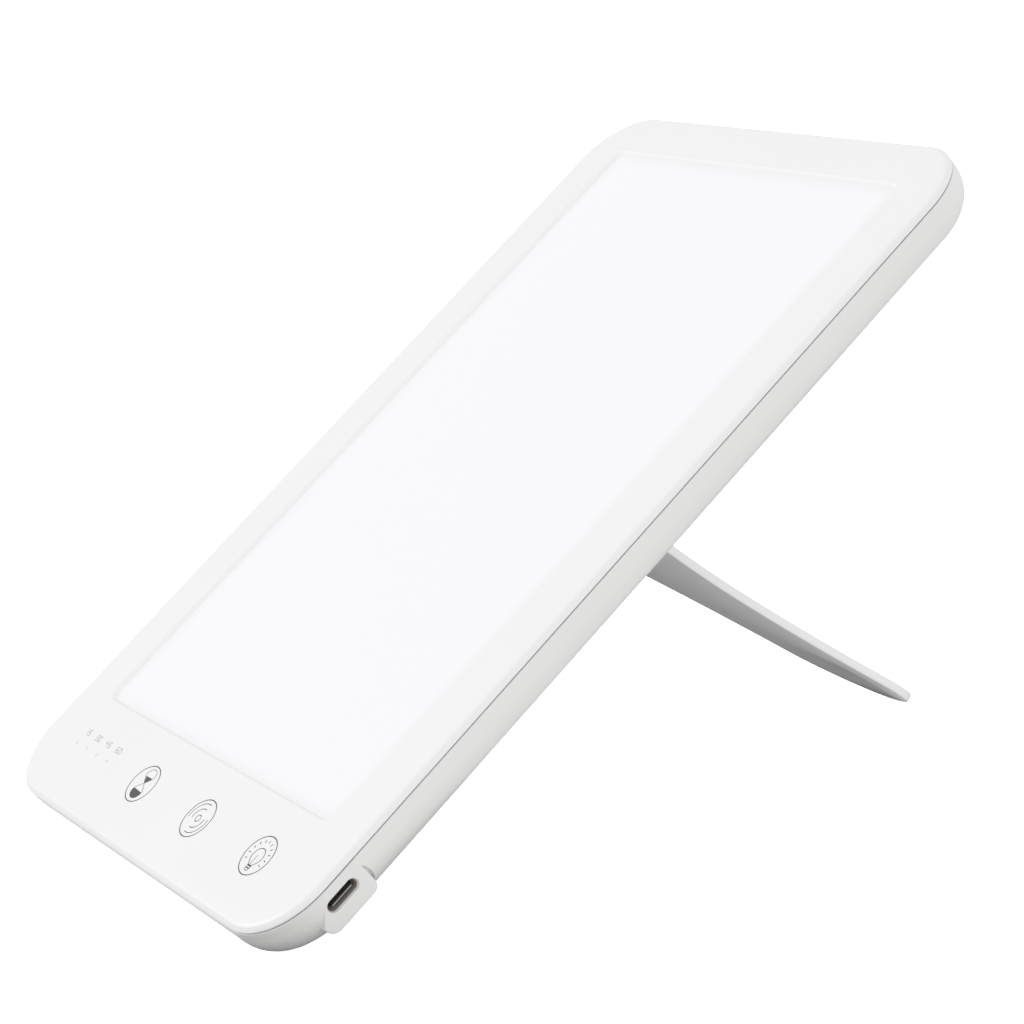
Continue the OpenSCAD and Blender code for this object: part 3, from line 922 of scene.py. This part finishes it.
def hourglass_shapes():
    """Timer mark: two round-ended bulbs that meet at a neck, with sand above it and in the lower bulb."""
    neck = Vector((0.26, 0.27))
    upper_w, upper_h, upper_mid = 2.1, 1.75, (0.26, 2.55)
    lower_w, lower_h, lower_mid = 2.3, 1.9, (0.16, -2.25)
    upper = oval_points(upper_w, upper_h, 200, -20, upper_mid)
    lower = oval_points(lower_w, lower_h, 160, 380, lower_mid)
    sand_above = [neck, Vector((-1.36, 2.03)), Vector((2.03, 2.09))]
    sand_top = [Vector((-1.75, -1.75)), Vector((2.09, -1.95))]
    sand_below = sand_top + oval_points(lower_w, lower_h, 10, -190, lower_mid)
    outlines = stroke([neck] + upper + [neck], LINE * 0.6) + stroke([neck] + lower + [neck], LINE * 0.6)
    return key_ring() + outlines + [sand_above, sand_below]


def wave_shapes():
    """Brightness mark: a small ring between two pairs of arcs."""
    ring_r, arc_radii, arc_middles, arc_half = 0.9, (2.6, 4.05), (135, 315), 56
    shapes = key_ring() + stroke(circle_points(ring_r, n=28), LINE * 0.8, True)
    for radius in arc_radii:
        for middle in arc_middles:
            shapes += stroke(circle_points(radius, middle - arc_half, middle + arc_half, 30), LINE * 0.8)
    return shapes


def bulb_shapes():
    """Lamp mark: a bulb with its cap and filament, and short rays round it."""
    shapes = key_ring()
    neck, cap, end = -2.75, -3.4, -4.1
    glass_r, glass_mid = 2.15, (0.1, -0.2)
    ray_start, ray_end = 3.4, 4.15
    glass = circle_points(glass_r, -52, 232, 40, glass_mid)
    shapes += stroke([Vector((0.72, neck))] + glass + [Vector((-0.62, neck))], LINE * 0.8)
    shapes += stroke([Vector((-0.75, neck)), Vector((0.85, neck))], LINE * 1.6)
    shapes += stroke([Vector((-0.7, cap)), Vector((0.8, cap))], LINE * 1.2)
    cup = [Vector((-0.7, neck)), Vector((-0.6, cap - 0.35)), Vector((-0.2, end)), Vector((0.3, end))]
    shapes += stroke(cup + [Vector((0.7, cap - 0.35)), Vector((0.8, neck))], LINE * 0.8)
    shapes += stroke([Vector((-0.1, neck)), Vector((-0.1, 0.1))], LINE * 0.6)
    for i in range(RAYS):
        a = math.radians(RAY_START + i * (RAY_END - RAY_START) / (RAYS - 1))
        out = Vector((math.cos(a), math.sin(a)))
        shapes += stroke([out * ray_start, out * ray_end], LINE * 0.9)
    return shapes


def key_marks():
    marks = {"timer_mark": hourglass_shapes(), "brightness_mark": wave_shapes(), "lamp_mark": bulb_shapes()}
    for i, (name, shapes) in enumerate(marks.items()):
        ink_piece(name, shapes, (KEY_SHIFT + (i - 0.5) * KEY_PITCH, -KEY_ROW), MATS["ink"])


def number_shapes(text):
    """Small plain numbers drawn from straight strokes."""
    shapes = []
    for i, digit in enumerate(text):
        shift = Vector(((i - (len(text) - 1) / 2) * DIGIT_PITCH, 0))
        for name in DIGITS[digit]:
            ends = [Vector((x * DIGIT_W / 2, y * DIGIT_H / 2)) + shift for x, y in SEGMENTS[name]]
            shapes += stroke(ends, DIGIT_LINE)
    return shapes


def timer_labels():
    for x, text in zip(DOTS_X, ("15", "30", "45", "60")):
        centre = (x + LABEL_RIGHT, -KEY_ROW + LABEL_UP)
        ink_piece("time_label_" + text, number_shapes(text), centre, MATS["label"])


# ---------------------------------------------------------------- rear shell


def shell_rings(inset, z_top):
    """Rings of the shell's outer or inner skin, from the parting line down the side and round to the back."""
    radius = EDGE_R - inset
    side = SHELL_D - EDGE_R
    rings = [panel_ring(inset, z_top), panel_ring(inset, -side)]
    for c, s in arc(radius, 0, 90, EDGE_STEPS)[1:]:
        rings.append(panel_ring(inset + radius - c, -side - s))
    return rings


def tongue_ring(grow, z, top):
    """The kickstand's outline grown by a margin, folded down from the hinge, with its root at height top."""
    half = ROOT_HALF + grow
    radius = FLARE_R - grow
    centre = TIP_R + FLARE_R
    start = FLARE_C - math.sqrt(max(radius**2 - (centre - half) ** 2, 0))
    right = [Vector((half, top, z))]
    for i in range(FLARE_STEPS + 1):
        s = start + (FLARE_C - start) * i / FLARE_STEPS
        right.append(Vector((centre - math.sqrt(radius**2 - (FLARE_C - s) ** 2), -s, z)))
    tip = [
        Vector(((TIP_R + grow) * math.cos(a), -FLARE_C - (TIP_R + grow) * math.sin(a), z))
        for a in [math.pi * i / FLARE_STEPS for i in range(1, FLARE_STEPS)]
    ]
    left = [Vector((-p.x, p.y, z)) for p in reversed(right)]
    return right + tip + left


def pocket_cutter():
    """The kickstand's pocket, with a rounded lip where it meets the back."""
    rings = [tongue_ring(POCKET_GAP + POCKET_LIP_R, -SHELL_D - 1, STOP_Y + POCKET_LIP_R)]
    for c, s in arc(POCKET_LIP_R, 90, 0, 5):
        out = POCKET_LIP_R - c
        rings.append(tongue_ring(POCKET_GAP + out, -SHELL_D + POCKET_LIP_R - s, STOP_Y + out))
    for c, s in arc(POCKET_FLOOR_R, 0, 90, 4):
        out = c - POCKET_FLOOR_R
        rings.append(tongue_ring(POCKET_GAP + out, POCKET_FLOOR - POCKET_FLOOR_R + s, STOP_Y + out))
    return loft([moved(ring, dy=HINGE_UP) for ring in rings], "pocket")


def boss_ring(x, shrink=0.0):
    """The inlet boss's outline, seen from the panel's side. Its lower end slants back towards the front."""
    low, high = -INLET_ROW - BOSS_DOWN + shrink, -INLET_ROW + BOSS_UP - shrink
    back = -BOSS_D + shrink
    low_r = BOSS_LOW_R - shrink
    points = [(high, 0), (low + BOSS_SLANT, 0), (low + BOSS_SLANT * 0.5, -BOSS_KNEE)]
    points += [(low + low_r + c, back + low_r + s) for c, s in arc(low_r, 180, 270, 10)]
    points += [(high - BOSS_TOP_R + c, back + BOSS_TOP_R + s) for c, s in arc(BOSS_TOP_R, 270, 360, 10)]
    return [Vector((x, y, z)) for y, z in points]


def inlet_boss():
    """The boss with a small round where it meets the plane of the panel's side."""
    rings = [boss_ring(HALF_W - BOSS_IN), boss_ring(HALF_W - BOSS_EDGE)]
    for c, s in arc(BOSS_EDGE, 0, 90, 5)[1:]:
        rings.append(boss_ring(HALF_W - BOSS_EDGE + s, BOSS_EDGE - c))
    return loft(rings, "boss")


def crease_cutter():
    """The narrow crease where the rounded side meets the boss's upper end, widest in its middle."""
    middle = Vector((HALF_W - EDGE_R, -INLET_ROW + BOSS_UP - 0.02, -(SHELL_D - EDGE_R)))
    deep, outside = EDGE_R - CREASE_D, EDGE_R + 1
    first_angle, last_angle = 2, -44
    rings = []
    for i in range(DISH_STEPS + 1):
        t = i / DISH_STEPS
        a = math.radians(first_angle + (last_angle - first_angle) * t)
        width = CREASE_W * math.sin(math.pi * min(max(t, 0.02), 0.98)) ** 0.7
        out = Vector((math.cos(a), 0, math.sin(a)))
        corners = ((0, deep), (0, outside), (width, outside), (width, deep))
        rings.append([middle + Vector((0, along, 0)) + out * radius for along, radius in corners])
    return loft(rings, "crease")


def both_feet(levels, name):
    """Two upright solids in the row's frame, from heights and how much wider than a foot they are there."""
    low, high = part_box("rubber_feet")
    middle = (low.y + high.y) / 2 / MM
    feet = []
    for x in (-FOOT_X, FOOT_X):
        rings = [moved(stadium(FOOT_LEN + 2 * grow, FOOT_W + 2 * grow, z), x, middle) for z, grow in levels]
        feet.append(loft(rings, name))
    return feet


def foot_cutters():
    """Recesses for the feet, seen from the panel's own frame."""
    cutters = both_feet(((-1.0, 0), (foot_height, 0)), "foot_recess")
    for cutter in cutters:
        cutter.data.transform(panel_frame.inverted())
    return cutters


def inner_walls():
    """What stands on the shell's floor: the pocket's tub, the hinge's blocks and pads, and screw posts."""
    tub = [tongue_ring(POCKET_GAP + WALL, z, STOP_Y + WALL) for z in (TUB_LOW, TUB_TOP)]
    walls = loft([moved(ring, dy=HINGE_UP) for ring in tub], "tub")
    for side in (-1, 1):
        x = side * (ROOT_HALF + BLOCK_OUT)
        block = (x - BLOCK_HALF_X, x + BLOCK_HALF_X, HINGE_UP - BLOCK_HALF_Y, HINGE_UP + BLOCK_HALF_Y)
        x, y = side * BRACKET_X, HINGE_UP + STOP_Y
        pad = (x - PAD_HALF, x + PAD_HALF, y + PAD_START, y + PAD_END)
        join_solid(walls, box_mm(*block, TUB_LOW, TUB_TOP), box_mm(*pad, TUB_LOW, TUB_TOP))
    for x, y in SCREWS:
        join_solid(walls, upright(SHELL_POST, x, y, 40))
    boolean(walls, loft(shell_rings(SKIN_GAP, 0), "outer_body"), "INTERSECT")
    return walls


def cut_hinge(shell):
    """Room for the knuckle, the rod and the two brackets, and holes for the brackets' screws."""
    channel_end = ROOT_HALF + POCKET_GAP
    rod_end = ROOT_HALF + ROD_PAST
    rod_hole_r = ROD_R + 0.05
    cut(
        shell,
        crosswise([(-channel_end, CHANNEL_R), (channel_end, CHANNEL_R)], HINGE_UP, -HINGE_Z, 48),
        crosswise([(-rod_end, rod_hole_r), (rod_end, rod_hole_r)], HINGE_UP, -HINGE_Z, 48),
    )
    hole = [(-SHELL_D + 1.2, PAD_SCREW_R), (0, PAD_SCREW_R)]
    hole_y = HINGE_UP + STOP_Y + PAD_SCREW_Y
    for x in (-BRACKET_X, BRACKET_X):
        slot = (x - SLOT_HALF_X, x + SLOT_HALF_X, HINGE_UP - SLOT_HALF_Y, HINGE_UP + SLOT_HALF_Y)
        cut(shell, box_mm(*slot, -HINGE_Z, 0))
        for end in (-1, 1):
            cut(shell, upright(hole, x + end * PAD_SCREW_X, hole_y, 24))


def cut_inlet(shell):
    """The mouth, with a thin bevelled lip over the receptacle's edge, and the space behind it."""
    mouth = [(-MOUTH_DEEP, MOUTH_GAP), (-MOUTH_LIP, MOUTH_GAP), (-MOUTH_LIP, -MOUTH_OVER)]
    mouth += [(-MOUTH_SLOPE, -MOUTH_OVER), (0.1, MOUTH_SLOPE + 0.1 - MOUTH_OVER)]
    cut(shell, loft([inlet_ring(HALF_W + along, grow) for along, grow in mouth], "mouth"))
    space_x = (HALF_W - USB_SPACE_START, HALF_W - USB_SPACE_END)
    space_y = (-INLET_ROW - USB_SPACE_HALF, -INLET_ROW + USB_SPACE_HALF)
    cut(shell, box_mm(*space_x, *space_y, -INLET_Z - USB_SPACE_DOWN, 1))


def rear_shell():
    """A closed solid from its outer skin over the rim to its inner skin, with all that joins or cuts it."""
    outer = [panel_ring(EDGE_BREAK, 0)] + shell_rings(0, -EDGE_BREAK)
    inner = shell_rings(WALL, 0)
    obj = loft(list(reversed(outer)) + inner, "rear_shell_moulded")
    join_solid(obj, inner_walls(), inlet_boss())
    cut(obj, pocket_cutter(), crease_cutter())
    cut_hinge(obj)
    for x, y in SCREWS:
        cut(obj, upright(SCREW_RECESS, x, y, 40))
    cut_inlet(obj)
    cut(obj, *foot_cutters())
    finish(obj, MATS["shell"], 32)
    place(obj, panel_frame, "panel")
    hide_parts("rear_shell")


# ---------------------------------------------------------------- kickstand


def kickstand_ring(angle):
    """One ring round the plate's edge: half round at the tip that stands on the table, squarer elsewhere."""
    c, s = math.cos(math.radians(angle)), math.sin(math.radians(angle))
    square_c = c ** (2 / EDGE_POWER) if c > 1e-6 else 0.0
    square_s = math.copysign(abs(s) ** (2 / EDGE_POWER), s)
    half_round = tongue_ring(-NOSE_R + NOSE_R * c, NOSE_R * s, ROOT_TOP)
    squarer = tongue_ring(-NOSE_R + NOSE_R * square_c, NOSE_R * square_s, ROOT_TOP)
    blend_low = -FLARE_C - TIP_R * 0.97
    blend_height = TIP_R * 0.12
    ring = []
    for near, far in zip(half_round, squarer):
        t = min(max((near.y - blend_low) / blend_height, 0), 1)
        ring.append(near.lerp(far, t * t * (3 - 2 * t)))
    return ring


def dimple_cutter():
    """The shallow round finger dimple near the tip: a flat middle and a side that steepens outwards."""
    floor_z = NOSE_R - DIMPLE_D
    outline = [(0.02, floor_z)]
    for i in range(DISH_STEPS + 1):
        t = i / DISH_STEPS
        outline.append((DIMPLE_FLAT_R + (DIMPLE_R - DIMPLE_FLAT_R) * t, NOSE_R - DIMPLE_D * (1 - t * t)))
    outline.append((DIMPLE_R, NOSE_R + 1))
    return loft(
        [
            [Vector((r * math.cos(a), -FLARE_C + r * math.sin(a), z)) for a in circle_angles(96)]
            for r, z in outline
        ],
        "dimple",
    )


def kickstand():
    """Drawn folded: it lies along -Y from the hinge, and +Z is the inner face."""
    obj = loft([kickstand_ring(a) for a in range(-90, 91, 10)], "kickstand_moulded")
    for side in (-1, 1):
        past_root = sorted((side * ROOT_HALF, side * (ROOT_HALF + 3)))
        cut(obj, box_mm(*past_root, -8, 4, -PAST_FACES, PAST_FACES))
    cut(obj, dimple_cutter())
    edge_r = KNUCKLE_R - KNUCKLE_EDGE
    edge_x = ROOT_HALF - KNUCKLE_EDGE
    knuckle = [(-ROOT_HALF, edge_r), (-edge_x, KNUCKLE_R), (edge_x, KNUCKLE_R), (ROOT_HALF, edge_r)]
    join_solid(obj, crosswise(knuckle, 0, 0, 64))
    for x in (-BRACKET_X, BRACKET_X):
        cut(obj, box_mm(x - CUT_HALF, x + CUT_HALF, -4, CUT_TOP, -PAST_FACES, PAST_FACES))
    cut(obj, crosswise([(-ROOT_HALF - 1, ROD_R), (ROOT_HALF + 1, ROD_R)], 0, 0, 32))
    finish(obj, MATS["stand"], 32)
    place(obj, stand_frame, "stand")
    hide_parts("kickstand")


# ---------------------------------------------------------------- inlet


def usb_parts():
    """The drawn steel shell, the tongue with its base, and the steel plate in the tongue's nose."""
    end = HALF_W - MOUTH_LIP
    start = end - USB_LEN
    round_start = end - USB_ROUND
    outside = [(start, 0), (round_start, 0), (end - USB_ROUND * 0.3, -USB_ROUND * 0.3), (end, -USB_ROUND)]
    inside = [(end, USB_ROUND * 0.9 - USB_WALL), (round_start, -USB_WALL), (start + USB_BACK, -USB_WALL)]
    tube = loft([inlet_ring(x, grow) for x, grow in outside + inside], "usb_shell_drawn")
    finish(tube, MATS["usb"], 28)
    place(tube, panel_frame, "panel")
    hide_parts("usb_shell")

    nose = HALF_W - TONGUE_DEEP
    rings = []
    for x, thinner in ((start + USB_BACK, 0), (nose - 0.25, 0), (nose, 0.2)):
        half_w, half_h = TONGUE_W / 2 - thinner, TONGUE_H / 2 - 0.6 * thinner
        corners = ((-half_w, -half_h), (half_w, -half_h), (half_w, half_h), (-half_w, half_h))
        rings.append(at_inlet([Vector((y, z, x)) for y, z in corners]))
    tongue = loft(rings, "usb_tongue_moulded")
    base_x = (start + USB_BACK + 0.02, start + USB_BACK + TONGUE_BASE)
    join_solid(tongue, loft([inlet_ring(x, -USB_WALL - 0.05) for x in base_x], "base"))
    finish(tongue, MATS["black"], 28)
    place(tongue, panel_frame, "panel")
    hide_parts("usb_tongue")

    plate_x = (nose - 0.3, nose + 0.04)
    plate_y = (-INLET_ROW - PLATE_HALF, -INLET_ROW + PLATE_HALF)
    plate_z = (-INLET_Z - 0.32, -INLET_Z - 0.12)
    plate = box_mm(*plate_x, *plate_y, *plate_z)
    finish(plate, MATS["steel"], 28)
    plate.name = "usb_tongue_plate"
    place(plate, panel_frame, "panel")


# ---------------------------------------------------------------- feet and screws


def rubber_feet():
    """The feet's lower edges are rounded where they stand on the table."""
    levels = ((0.0, -0.5), (0.12, -0.2), (0.4, -0.05), (foot_height, -0.05))
    obj = merge(both_feet(levels, "foot"), "rubber_feet_moulded")
    finish(obj, MATS["rubber"], 40)
    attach(obj, "panel")
    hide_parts("rubber_feet")


def case_screws():
    """Pan-head screws with a cross recess."""
    screws = []
    for x, y in SCREWS:
        screw = upright(SCREW_OUTLINE, x, y, 40)
        for half_x, half_y in ((CROSS_LONG, CROSS_SHORT), (CROSS_SHORT, CROSS_LONG)):
            cut(screw, box_mm(x - half_x, x + half_x, y - half_y, y + half_y, CROSS_LOW, CROSS_TOP))
        screws.append(screw)
    obj = merge(screws, "case_screws_turned")
    finish(obj, MATS["steel"], 30)
    place(obj, panel_frame, "panel")
    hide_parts("case_screws")


# ---------------------------------------------------------------- CAD nodes that stay

KEPT = {
    "screen_diffuser": "milk",
    "prism_film": "clear",
    "light_guide": "clear",
    "reflector_sheet": "sheet",
    "backlight_tray": "tray",
    "led_board_left": "sheet",
    "led_board_right": "sheet",
    "leds_left": "led",
    "leds_right": "led",
    "control_board": "board",
    "touch_pads": "rubber",
    "indicator_leds": "led",
    "light_pipes": "pipe",
    "control_chip": "black",
    "boost_inductor": "dark",
    "filter_capacitors": "tray",
    "wire_sockets": "ivory",
    "led_wires": "red",
    "usb_contacts": "gold",
    "board_screws": "steel",
    "hinge_brackets": "steel",
    "bracket_screws": "dark",
    "hinge_washers": "ivory",
    "hinge_rod": "steel",
}


def paint_kept_nodes():
    for name, material in KEPT.items():
        slots = nodes[name].material_slots
        if len(slots) == 0:
            nodes[name].data.materials.append(MATS[material])
        for slot in slots:
            slot.material = MATS[material]


# ---------------------------------------------------------------- build

camera()
studio()
floor()
paint_kept_nodes()
front_cover()
key_marks()
timer_labels()
rear_shell()
kickstand()
usb_parts()
rubber_feet()
case_screws()
